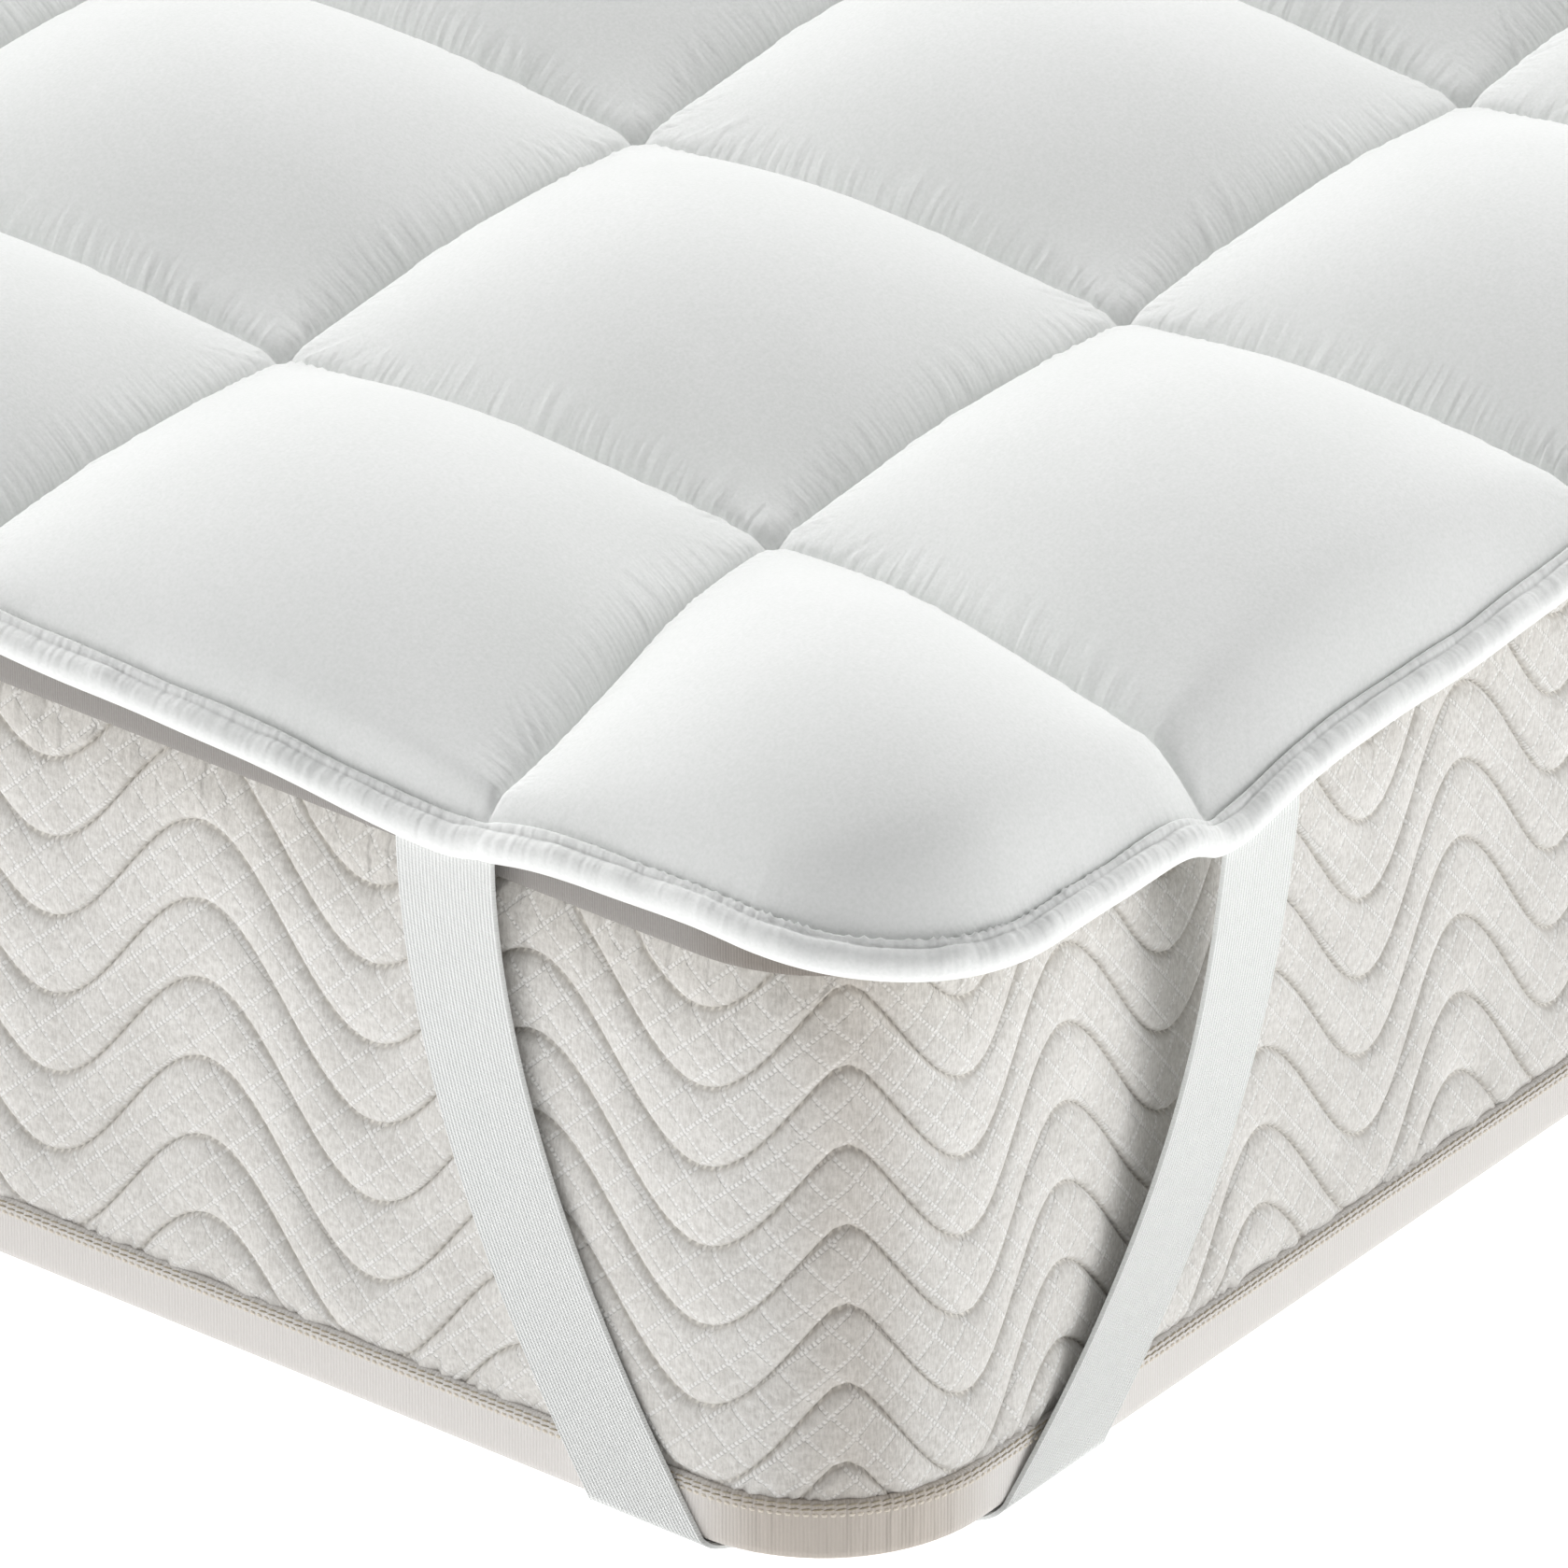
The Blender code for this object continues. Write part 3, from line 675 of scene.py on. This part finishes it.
def make_border(ticking):
    """The mattress's border panel, quilted in waves between the two tapes."""
    place, out, distance, wave, mitre, total = border_path(0.0, END_STRETCH)
    first = math.floor((BOTTOM_TAPE[0] - WAVE_HALF_HEIGHT - WAVE_LINE) / WAVE_SPACING)
    last = math.ceil((TAPE_TOP[1] + WAVE_HALF_HEIGHT - WAVE_LINE) / WAVE_SPACING)
    low, high = BOTTOM_TAPE[1], TAPE_TOP[0]
    # The panel runs on a little behind the tapes, squeezed into their depth, and lies down towards them
    behind_tape, spare, lie_down = 0.009, 0.030, 0.004
    rows, levels = [], []
    for line in range(first, last):
        for up, stand in CHANNEL_ROWS:
            level = WAVE_LINE + line * WAVE_SPACING + up * MM
            z = level + wave
            if (z < low - spare).all() or (z > high + spare).all():
                continue
            below = low - behind_tape * (1 - np.exp(-(low - z) / behind_tape))
            above = high + behind_tape * (1 - np.exp(-(z - high) / behind_tape))
            z = np.where(z < low, below, np.where(z > high, above, z))
            shown = smooth((z - low) / lie_down) * smooth((high - z) / lie_down)
            proud = 0.12 * MM + stand * shown
            rows.append(np.column_stack([place + out * proud[:, None], z]))
            levels.append(level)
    # Two more rows close it behind, just off the side of the solid
    for end in (-1, 0):
        rows.append(np.column_stack([place + out * 0.04 * MM, rows[end][:, 2]]))
        levels.append(levels[end])
    rings = np.stack(rows, axis=1)
    maps = {"border": rings[:, :, 2], "quilting": np.array(levels)}
    border = closed_roll("mattress_border_panel", rings, ticking, distance, total, maps)
    add_value(border.data, "from_mitre", np.repeat(mitre, rings.shape[1]))


def make_tape(name, node, heights, twill):
    """A twill tape folded over the mattress's edge."""
    low, high = heights
    place, out, distance, _, mitre, total = border_path(GAP)
    middle = (low + high) / 2
    section = np.array((
        (0.0, low), (1.6, low), (2.5, low + 0.0009), (2.8, low + 0.003), (2.8, middle), (2.8, high - 0.003),
        (2.5, high - 0.0009), (1.6, high), (0.0, high),
    )) * (MM, 1)
    rings = np.zeros((len(place), len(section), 3))
    for index, (away, up) in enumerate(section):
        rings[:, index, :2] = place + out * away
        rings[:, index, 2] = up
    tape = closed_roll(name, rings, twill, distance, total, {"tape": section[:, 1]})
    add_value(tape.data, "from_mitre", np.repeat(mitre, len(section)))
    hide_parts(node)


def make_stitches(name, rows, spacing, length, width, slant, thread):
    """Rows of stitches along the bottom tape. Each stitch is a short spindle of thread half sunk in it."""
    tips = np.array([-0.5, -0.25, -0.25, -0.25, -0.25, 0.25, 0.25, 0.25, 0.25, 0.5])
    ring = np.array([(1, 0), (0, 1), (-1, 0), (0, -1)])
    section = np.concatenate([[[0, 0]], ring, ring, [[0, 0]]])
    faces = [(0, 1 + (k + 1) % 4, 1 + k) for k in range(4)]
    faces += [(1 + k, 1 + (k + 1) % 4, 5 + (k + 1) % 4, 5 + k) for k in range(4)]
    faces += [(9, 5 + k, 5 + (k + 1) % 4) for k in range(4)]
    points, all_faces = [], []
    for offset, height in rows:
        place, out, distance, _, _, total = border_path(offset)
        count = round(total / spacing)
        middle = (np.arange(count) + 0.5) * total / count
        ends = np.append(distance, total)
        at = [np.interp(middle, ends, np.append(line, line[0])) for line in (*place.T, *out.T)]
        outs = np.stack(at[2:], axis=1)
        along = np.stack([-outs[:, 1], outs[:, 0]], axis=1)
        for x, y, (out_x, out_y), (along_x, along_y) in zip(at[0], at[1], outs, along):
            start = len(points)
            for tip, (proud, up) in zip(tips, section):
                forward, outwards, rise = tip * length, proud * width / 2, up * width / 2 + tip * slant
                points.append((x + along_x * forward + out_x * outwards,
                               y + along_y * forward + out_y * outwards, height + rise))
            all_faces += [tuple(start + corner for corner in face) for face in faces]
    stitches = piece(name, points, all_faces, thread)


# ---- finishes ----


def linear(hex_colour):
    """An sRGB hex colour as the linear RGBA that nodes take."""
    parts = [int(hex_colour[place:place + 2], 16) / 255 for place in (1, 3, 5)]
    return [part / 12.92 if part <= 0.04045 else ((part + 0.055) / 1.055) ** 2.4 for part in parts] + [1.0]


def add_node(tree, kind, inputs, output=0, **settings):
    """Adds a node with its settings, fills its inputs with values or links, and gives one of its outputs."""
    node = tree.nodes.new(kind)
    for name, value in settings.items():
        setattr(node, name, value)
    for place, value in inputs.items():
        if isinstance(value, bpy.types.NodeSocket):
            tree.links.new(value, node.inputs[place])
        else:
            node.inputs[place].default_value = value
    return node.outputs[output]


# The Scale of a wave texture with bands 1 m apart
BAND = math.pi / 10
# Settings of a Mix node that mixes colours, and of a Map Range node that starts and ends softly
RGBA = {"output": 2, "data_type": "RGBA"}
SOFT = {"interpolation_type": "SMOOTHSTEP"}


def new_finish(name, colour, roughness, sheen=0.0):
    """A cloth or other matt material of one colour, to which a finish adds its weave."""
    made = bpy.data.materials.new(name)
    made.use_nodes = True
    surface = made.node_tree.nodes["Principled BSDF"]
    surface.inputs["Base Color"].default_value = linear(colour)
    surface.inputs["Roughness"].default_value = roughness
    surface.inputs["Sheen Weight"].default_value = sheen
    surface.inputs["Sheen Roughness"].default_value = 0.5
    return made, made.node_tree, surface


def brushed_microfibre():
    """Polyester microfibre, woven and brushed: matt white with a faint sheen and a very fine grain.

    Its stitching gathers it into short streaks that run out from the seams.
    """
    finish, tree, surface = new_finish("brushed_white_microfibre", "#F2F4F2", 0.75, sheen=0.15)
    place = add_node(tree, "ShaderNodeTexCoord", {}, "Object")
    cloud = add_node(tree, "ShaderNodeTexNoise", {"Vector": place, "Scale": 1 / (60 * MM), "Detail": 2.0})
    # The nap's grain is about 0.3 mm, too fine to show, so it is drawn 1.1 mm wide
    grain = add_node(tree, "ShaderNodeTexNoise", {"Vector": place, "Scale": 1 / (1.1 * MM), "Detail": 2.0})
    speckled = add_node(tree, "ShaderNodeMix", {0: 0.7, 2: cloud, 3: grain})
    tint = add_node(tree, "ShaderNodeMapRange", {0: speckled, 1: 0.35, 2: 0.65})
    colour = add_node(tree, "ShaderNodeMix", {0: tint, 6: linear("#EFF1EF"), 7: linear("#F8F9F8")}, **RGBA)
    tree.links.new(colour, surface.inputs["Base Color"])
    beside = add_node(tree, "ShaderNodeUVMap", {}, uv_map="beside_seam")
    away = add_node(tree, "ShaderNodeSeparateXYZ", {0: beside}, 1)
    long = add_node(tree, "ShaderNodeMapping", {0: beside, 3: (1 / (3.4 * MM), 1 / (22 * MM), 1)})
    streaks = add_node(tree, "ShaderNodeTexNoise", {"Vector": long, "Scale": 1.0, "Detail": 1.0})
    near = add_node(tree, "ShaderNodeMapRange", {0: away, 1: 2 * MM, 2: 20 * MM, 3: 1.0, 4: 0.0}, **SOFT)
    height = add_node(tree, "ShaderNodeMath", {0: streaks, 1: near}, operation="MULTIPLY")
    gathered = add_node(tree, "ShaderNodeBump", {"Strength": 1.0, "Distance": 0.9 * MM, "Height": height})
    woven = add_node(tree, "ShaderNodeBump", {"Strength": 0.6, "Distance": 0.1 * MM, "Height": grain,
                                              "Normal": gathered})
    tree.links.new(woven, surface.inputs["Normal"])
    return finish


def woven_elastic():
    """Polyester webbing woven over rubber: long ribs with a fine cross weave between them."""
    finish, tree, surface = new_finish("woven_white_elastic", "#FAFBFA", 0.8, sheen=0.1)
    weave = add_node(tree, "ShaderNodeUVMap", {}, uv_map="weave")
    # The picks are about 0.5 mm apart, too fine to show, so they are drawn 1 mm apart
    picks = add_node(tree, "ShaderNodeTexWave", {"Vector": weave, "Scale": BAND / (1.0 * MM),
                                                 "Distortion": 0.4, "Detail": 1.0}, 1, bands_direction="X")
    ribs = add_node(tree, "ShaderNodeTexWave", {"Vector": weave, "Scale": BAND * RIBS / STRAP_WIDTH},
                    1, bands_direction="Y")
    cloud = add_node(tree, "ShaderNodeTexNoise", {"Vector": weave, "Scale": 1 / (9 * MM), "Detail": 2.0})
    thread = add_node(tree, "ShaderNodeMix", {0: 0.25, 2: ribs, 3: picks})
    shade = add_node(tree, "ShaderNodeMix", {0: 0.25, 2: thread, 3: cloud})
    colour = add_node(tree, "ShaderNodeMix", {0: shade, 6: linear("#E6E8E6"), 7: linear("#FCFDFC")}, **RGBA)
    tree.links.new(colour, surface.inputs["Base Color"])
    relief = add_node(tree, "ShaderNodeBump", {"Strength": 1.0, "Distance": 0.35 * MM, "Height": thread})
    tree.links.new(relief, surface.inputs["Normal"])
    return finish


def raised_lattice(tree, place):
    """Height of the damask's slanting lines of raised yarns, which stand up as rows of dots."""
    lines = []
    for turn in (1, -1):
        lengthwise = add_node(tree, "ShaderNodeMapping", {0: place, 3: (1, turn, 1)})
        line = add_node(tree, "ShaderNodeTexWave", {"Vector": lengthwise, "Distortion": 0.25, "Detail": 1.0,
                                                    "Scale": 2 * BAND / (15.5 * MM)}, 1,
                        bands_direction="DIAGONAL")
        raised = add_node(tree, "ShaderNodeMapRange", {0: line, 1: 0.94, 2: 0.985}, **SOFT)
        crosswise = add_node(tree, "ShaderNodeMapping", {0: place, 3: (1, -turn, 1)})
        dots = add_node(tree, "ShaderNodeTexWave", {"Vector": crosswise, "Distortion": 0.5, "Detail": 1.0,
                                                    "Scale": 2 * BAND / (2.5 * MM)}, 1,
                        bands_direction="DIAGONAL")
        spaced = add_node(tree, "ShaderNodeMapRange", {0: dots, 1: 0.1, 2: 0.7, 3: 0.25, 4: 1.0})
        lines.append(add_node(tree, "ShaderNodeMath", {0: raised, 1: spaced}, operation="MULTIPLY"))
    return add_node(tree, "ShaderNodeMath", {0: lines[0], 1: lines[1]}, operation="MAXIMUM")


def with_stitches(tree, colour):
    """The colour of the ticking with painted shade along its stitched grooves and pale stitches along the
    waves.
    """
    quilting = add_node(tree, "ShaderNodeUVMap", {}, uv_map="quilting")
    level = add_node(tree, "ShaderNodeSeparateXYZ", {0: quilting}, 1)
    channel = add_node(tree, "ShaderNodeMapRange", {0: level, 1: WAVE_LINE, 2: WAVE_LINE + WAVE_SPACING},
                       clamp=False)
    # Distance from the nearest line of stitches, as a share of a channel
    to_line = add_node(tree, "ShaderNodeMath", {0: channel, 1: 0.5}, operation="PINGPONG")
    # Painted shade: the ticking is darker right beside each line of stitches, where the groove lies in shade
    groove_shade = add_node(tree, "ShaderNodeMapRange", {0: to_line, 1: 0.0, 2: 0.06, 3: 0.45, 4: 0.0})
    sewn = add_node(tree, "ShaderNodeMapRange", {0: to_line, 1: 0.01, 2: 0.032, 3: 1.0, 4: 0.0})
    ticks = add_node(tree, "ShaderNodeTexWave", {"Vector": quilting, "Scale": BAND / (2.9 * MM)}, 1,
                     bands_direction="X")
    tops = add_node(tree, "ShaderNodeMapRange", {0: ticks, 1: 0.5, 2: 0.9})
    stitch = add_node(tree, "ShaderNodeMath", {0: sewn, 1: tops}, operation="MULTIPLY")
    colour = add_node(tree, "ShaderNodeMix", {0: groove_shade, 6: colour, 7: linear("#B9B2A7")}, **RGBA)
    return add_node(tree, "ShaderNodeMix", {0: stitch, 6: colour, 7: linear("#F4F1EA")}, **RGBA)


def with_shade_brown_and_pleats(tree, place, colour):
    """The colour of the ticking with painted shade at the mitres, a brown tint and painted shade under the
    topper, and its pleats there.
    """
    mitre = add_node(tree, "ShaderNodeAttribute", {}, "Fac", attribute_name="from_mitre")
    # Painted shade: the ticking is darker near each mitre, where the corner lies in shade between the side
    # lights
    darker_at_mitre = add_node(tree, "ShaderNodeMapRange", {0: mitre, 1: 0.0, 2: 30 * MM, 3: 0.4, 4: 0.0}, **SOFT)
    colour = add_node(tree, "ShaderNodeMix", {0: darker_at_mitre, 6: colour, 7: linear("#D3CAC1")}, **RGBA,
                      blend_type="MULTIPLY")
    up = add_node(tree, "ShaderNodeSeparateXYZ", {0: place}, 1)
    under_edge = add_node(tree, "ShaderNodeMapRange", {0: up, 1: 165 * MM, 2: 215 * MM}, **SOFT)
    # Darker towards the top: partly a real brown tint, partly painted shade from the topper's edge that hangs
    # over it
    brown_and_shade = add_node(tree, "ShaderNodeMath", {0: under_edge, 1: 0.25}, operation="MULTIPLY")
    colour = add_node(tree, "ShaderNodeMix", {0: brown_and_shade, 6: colour, 7: linear("#D6CFC4")}, **RGBA,
                      blend_type="MULTIPLY")
    hanging = add_node(tree, "ShaderNodeMapping", {0: place, 3: (1 / (6 * MM), 1 / (60 * MM), 1)})
    pleats = add_node(tree, "ShaderNodeTexNoise", {"Vector": hanging, "Scale": 1.0, "Detail": 1.0})
    pleated = add_node(tree, "ShaderNodeMath", {0: pleats, 1: under_edge}, operation="MULTIPLY")
    folds = add_node(tree, "ShaderNodeBump", {"Strength": 1.0, "Distance": 4 * MM, "Height": pleated})
    return colour, folds


def woven_ticking(name, quilted):
    """Viscose damask ticking: matt, with upright fibres and pale flecks.

    On the quilted border it also has a faint lattice of raised yarns, its stitches, painted shade in its
    grooves and at its mitres, and a brown tint, painted shade and pleats under the topper.
    """
    finish, tree, surface = new_finish(name, "#E0DCD6", 0.9, sheen=0.1)
    if quilted:
        place = add_node(tree, "ShaderNodeUVMap", {}, uv_map="border")
    else:
        place = add_node(tree, "ShaderNodeTexCoord", {}, "Object")
    # The yarns are about 0.4 mm apart, too fine to show, so they are drawn 0.8 mm wide
    upright = add_node(tree, "ShaderNodeMapping",
                       {0: place, 3: (1 / (0.8 * MM), 1 / (3.2 * MM), 1 / (0.8 * MM))})
    fibres = add_node(tree, "ShaderNodeTexNoise", {"Vector": upright, "Scale": 1.0, "Detail": 2.0})
    flecks = add_node(tree, "ShaderNodeTexNoise", {"Vector": place, "Scale": 1 / (2.4 * MM), "Detail": 3.0,
                                                   "Roughness": 0.65})
    cloud = add_node(tree, "ShaderNodeTexNoise", {"Vector": place, "Scale": 1 / (22 * MM), "Detail": 2.0})
    yarns = add_node(tree, "ShaderNodeMix", {0: 0.55, 2: fibres, 3: flecks})
    mottled = add_node(tree, "ShaderNodeMix", {0: 0.2, 2: yarns, 3: cloud})
    tone = add_node(tree, "ShaderNodeMapRange", {0: mottled, 1: 0.40, 2: 0.61})
    colour = add_node(tree, "ShaderNodeMix", {0: tone, 6: linear("#CDCAC5"), 7: linear("#EAE8E4")}, **RGBA)
    bump = {"Strength": 0.8, "Distance": 0.65 * MM, "Height": yarns}
    if quilted:
        lattice = raised_lattice(tree, place)
        pale = add_node(tree, "ShaderNodeMath", {0: lattice, 1: 0.7}, operation="MULTIPLY")
        colour = add_node(tree, "ShaderNodeMix", {0: pale, 6: colour, 7: linear("#FAF9F7")}, **RGBA)
        bump["Height"] = add_node(tree, "ShaderNodeMath", {0: lattice, 1: 0.6, 2: yarns},
                                  operation="MULTIPLY_ADD")
        colour, bump["Normal"] = with_shade_brown_and_pleats(tree, place, with_stitches(tree, colour))
    tree.links.new(colour, surface.inputs["Base Color"])
    tree.links.new(add_node(tree, "ShaderNodeBump", bump), surface.inputs["Normal"])
    return finish


def woven_twill(name, dark, light, rib):
    """Cotton twill tape: fine ribs across it, and gathers where it turns the mattress's corners."""
    finish, tree, surface = new_finish(name, light, 0.85, sheen=0.1)
    place = add_node(tree, "ShaderNodeUVMap", {}, uv_map="tape")
    # Real ribs are about 0.6 mm apart, too fine to show, so they are drawn up to twice as far apart
    ribs = add_node(tree, "ShaderNodeTexWave", {"Vector": place, "Scale": BAND / rib,
                                                "Distortion": 0.6, "Detail": 1.0}, 1, bands_direction="X")
    fine = add_node(tree, "ShaderNodeTexNoise", {"Vector": place, "Scale": 1 / (1.2 * MM), "Detail": 3.0})
    thread = add_node(tree, "ShaderNodeMix", {0: 0.5, 2: ribs, 3: fine})
    colour = add_node(tree, "ShaderNodeMix", {0: thread, 6: linear(dark), 7: linear(light)}, **RGBA)
    mitre = add_node(tree, "ShaderNodeAttribute", {}, "Fac", attribute_name="from_mitre")
    turning = add_node(tree, "ShaderNodeMapRange", {0: mitre, 1: 20 * MM, 2: 60 * MM, 3: 1.0, 4: 0.0}, **SOFT)
    # The tape is made darker where it turns each corner
    darker_at_mitre = add_node(tree, "ShaderNodeMix", {0: turning, 6: colour, 7: linear("#E6E0D9")}, **RGBA,
                      blend_type="MULTIPLY")
    tree.links.new(darker_at_mitre, surface.inputs["Base Color"])
    hanging = add_node(tree, "ShaderNodeMapping", {0: place, 3: (1 / (5 * MM), 1 / (40 * MM), 1)})
    pleats = add_node(tree, "ShaderNodeTexNoise", {"Vector": hanging, "Scale": 1.0, "Detail": 1.0})
    pleated = add_node(tree, "ShaderNodeMath", {0: pleats, 1: turning}, operation="MULTIPLY")
    folds = add_node(tree, "ShaderNodeBump", {"Strength": 1.0, "Distance": 2 * MM, "Height": pleated})
    relief = add_node(tree, "ShaderNodeBump", {"Strength": 0.8, "Distance": 0.25 * MM, "Height": thread,
                                               "Normal": folds})
    tree.links.new(relief, surface.inputs["Normal"])
    return finish


white_microfibre = brushed_microfibre()
white_elastic = woven_elastic()
cream_ticking = woven_ticking("woven_cream_ticking", quilted=True)
panel_ticking = woven_ticking("woven_cream_ticking_panel", quilted=False)
# The top tape is the same twill as the bottom one; its darker colours are painted shade from the topper's
# edge that hangs over it
top_twill = woven_twill("woven_twill_in_painted_shade", "#8C8885", "#A5A19D", 0.9 * MM)
bottom_twill = woven_twill("woven_pale_twill", "#DEDAD6", "#EBE8E5", 1.2 * MM)
# Spun polyester thread: smoother and a little shinier than the tape that it is sewn through
tan_thread = new_finish("spun_tan_thread", "#B3A893", 0.7, sheen=0.1)[0]
cream_thread = new_finish("spun_cream_thread", "#F3EADC", 0.7, sheen=0.1)[0]

# ---- making ----

halves = [make_half_pad("quilted_pad_front_half", range(0, ROWS // 2), white_microfibre),
          make_half_pad("quilted_pad_back_half", range(ROWS // 2, ROWS), white_microfibre)]
for half in halves:
    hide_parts("topper_pad")
make_binding(white_microfibre)
for name, signs in CORNERS.items():
    make_strap(name, signs, white_elastic)
make_border(cream_ticking)
make_tape("bottom_tape", "mattress_tape_bottom", BOTTOM_TAPE, bottom_twill)
make_tape("top_tape", "mattress_tape_top", TAPE_TOP, top_twill)
tape_face = GAP + TAPE_THICKNESS
make_stitches("tape_edge_stitches", ((tape_face - 0.0003, 0.0223), (tape_face, 0.0207)), 3.5 * MM, 3.6 * MM,
              0.7 * MM, 0.5 * MM, tan_thread)
make_stitches("tape_bead_stitches", ((tape_face, 0.0188),), 2.7 * MM, 2.2 * MM, 1.3 * MM, 0.0, cream_thread)
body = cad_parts["mattress_body"]
body.data.materials.clear()
body.data.materials.append(panel_ticking)

# ---- camera, floor and light ----

scene = bpy.context.scene
camera = bpy.data.objects.new("camera", bpy.data.cameras.new("camera"))
scene.collection.objects.link(camera)
camera.location = (-5.7483, -5.0113, 4.1495)
camera.rotation_euler = (math.radians(59.976), 0, math.radians(-52.333))
camera.data.lens = 585.6
camera.data.sensor_width = 36
camera.data.clip_end = 60
scene.camera = camera
scene.view_settings.view_transform = "Standard"

sky = bpy.data.worlds.new("studio")
scene.world = sky
sky.use_nodes = True
sky.node_tree.nodes["Background"].inputs["Color"].default_value = linear("#FFFFFF")
sky.node_tree.nodes["Background"].inputs["Strength"].default_value = 0.21

bpy.ops.mesh.primitive_plane_add(size=90)
floor = bpy.context.object
floor.name = "floor"
# A light table: a sheet of opal acrylic lit from behind, as goods are photographed on for a white ground
acrylic, _, glow = new_finish("opal_white_acrylic", "#F6F6F6", 0.6)
glow.inputs["Emission Color"].default_value = linear("#FFFFFF")
glow.inputs["Emission Strength"].default_value = 0.72
floor.data.materials.append(acrylic)

# Soft lamps, each with its heading in degrees from +X, its height in degrees and its strength
VIEW_HEADING = 90 - 52.333
for name, heading, height, strength in (
    ("lamp_behind", VIEW_HEADING, 45, 1.76),
    ("lamp_behind_left", VIEW_HEADING + 55, 40, 0.74),
    ("lamp_left", VIEW_HEADING + 90, 12, 0.95),
    ("lamp_right", VIEW_HEADING - 90, 12, 1.24),
):
    lamp = bpy.data.objects.new(name, bpy.data.lights.new(name, "SUN"))
    scene.collection.objects.link(lamp)
    lamp.data.energy = strength
    lamp.data.angle = math.radians(40)
    lamp.rotation_euler = (math.radians(90 - height), 0, math.radians(heading + 90))
